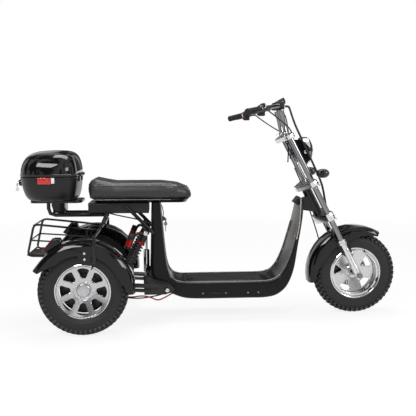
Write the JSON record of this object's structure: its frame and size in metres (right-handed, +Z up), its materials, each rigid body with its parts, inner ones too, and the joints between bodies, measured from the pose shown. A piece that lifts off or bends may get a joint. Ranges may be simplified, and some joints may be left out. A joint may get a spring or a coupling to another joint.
{
  "type": "electric tricycle",
  "caption": "Open electric tricycle with a raked fork, low foot deck, long seat, twin driven rear wheels under mudguards, wire basket and hinged top case.",
  "frame": {"origin": "on the floor below the middle of the whole length and width", "axes": "+X forward, +Y to the rider's left, +Z up"},
  "size_m": [2.044, 0.786, 1.178],
  "materials": {
    "tyre": "matt black rubber",
    "rubber": "matt black",
    "polished_alloy": "polished",
    "aluminium": "satin",
    "chrome": "mirror",
    "dark_steel": "dark",
    "grey_steel": "satin",
    "black_frame": "semi-gloss black",
    "gloss_black": "high gloss black",
    "gloss_plastic": "high gloss black",
    "satin_plastic": "satin black",
    "matt_plastic": "matt black",
    "leather": "grained black",
    "red_anodised": "red anodised",
    "red_lens": "clear red",
    "red_lead": "red sheath"
  },
  "bodies": {
    "chassis": {"rear_axle": "dark_steel", "rear_frame": "black_frame", "shock_left": "red_anodised", "shock_right": "red_anodised", "centre_damper": "chrome", "guard_hoop": "grey_steel", "mudguard_left": "gloss_black", "mudguard_right": "gloss_black", "tail_lamp_left": "red_lens", "tail_lamp_right": "red_lens", "case_rack": "black_frame", "basket": "black_frame", "case_base": "matt_plastic", "seat_base": "matt_plastic", "seat_cushion": "leather", "underseat_box": "black_frame", "seat_struts": "black_frame", "floor_shell": "satin_plastic", "leg_shield": "satin_plastic", "seat_column": "satin_plastic", "floor_mat": "rubber", "relay_box": "matt_plastic", "steering_head": "black_frame", "red_lead": "red_lead"},
    "case_lid": {"case_lid": "gloss_plastic"},
    "steering": {"top_clamp": "aluminium", "fork_crowns": "aluminium", "fork_leg_left": "chrome", "fork_leg_right": "chrome", "front_axle": "chrome", "handlebar": "chrome", "grip_left": "rubber", "grip_right": "rubber", "headlamp": "gloss_black", "turn_signal_left": "matt_plastic", "turn_signal_right": "matt_plastic", "front_mudguard": "gloss_black", "front_loom": "rubber"},
    "front_wheel": {"front_tyre": "tyre", "front_rim": "polished_alloy", "front_brake_disc": "dark_steel"},
    "rear_wheel_left": {"rear_tyre_left": "tyre", "rear_rim_left": "polished_alloy"},
    "rear_wheel_right": {"rear_tyre_right": "tyre", "rear_rim_right": "polished_alloy"}
  },
  "joints": [
    {"name": "steering_turn", "type": "hinge", "parent": "chassis", "child": "steering", "pos_m": [0.3827, 0, 0.955], "axis": [-0.4618, 0, 0.887], "range_deg": [-35, 35]},
    {"name": "front_wheel_spin", "type": "hinge", "parent": "steering", "child": "front_wheel", "pos_m": [0.79601, 0, 0.226], "axis": [0, 1, 0], "continuous": true},
    {"name": "rear_wheel_left_spin", "type": "hinge", "parent": "chassis", "child": "rear_wheel_left", "pos_m": [-0.645, 0.302, 0.2195], "axis": [0, 1, 0], "continuous": true},
    {"name": "rear_wheel_right_spin", "type": "hinge", "parent": "chassis", "child": "rear_wheel_right", "pos_m": [-0.645, -0.302, 0.2195], "axis": [0, 1, 0], "continuous": true},
    {"name": "case_lid_hinge", "type": "hinge", "parent": "chassis", "child": "case_lid", "pos_m": [-0.679, 0, 0.772], "axis": [0, 1, 0], "range_deg": [0, 80]}
  ]
}
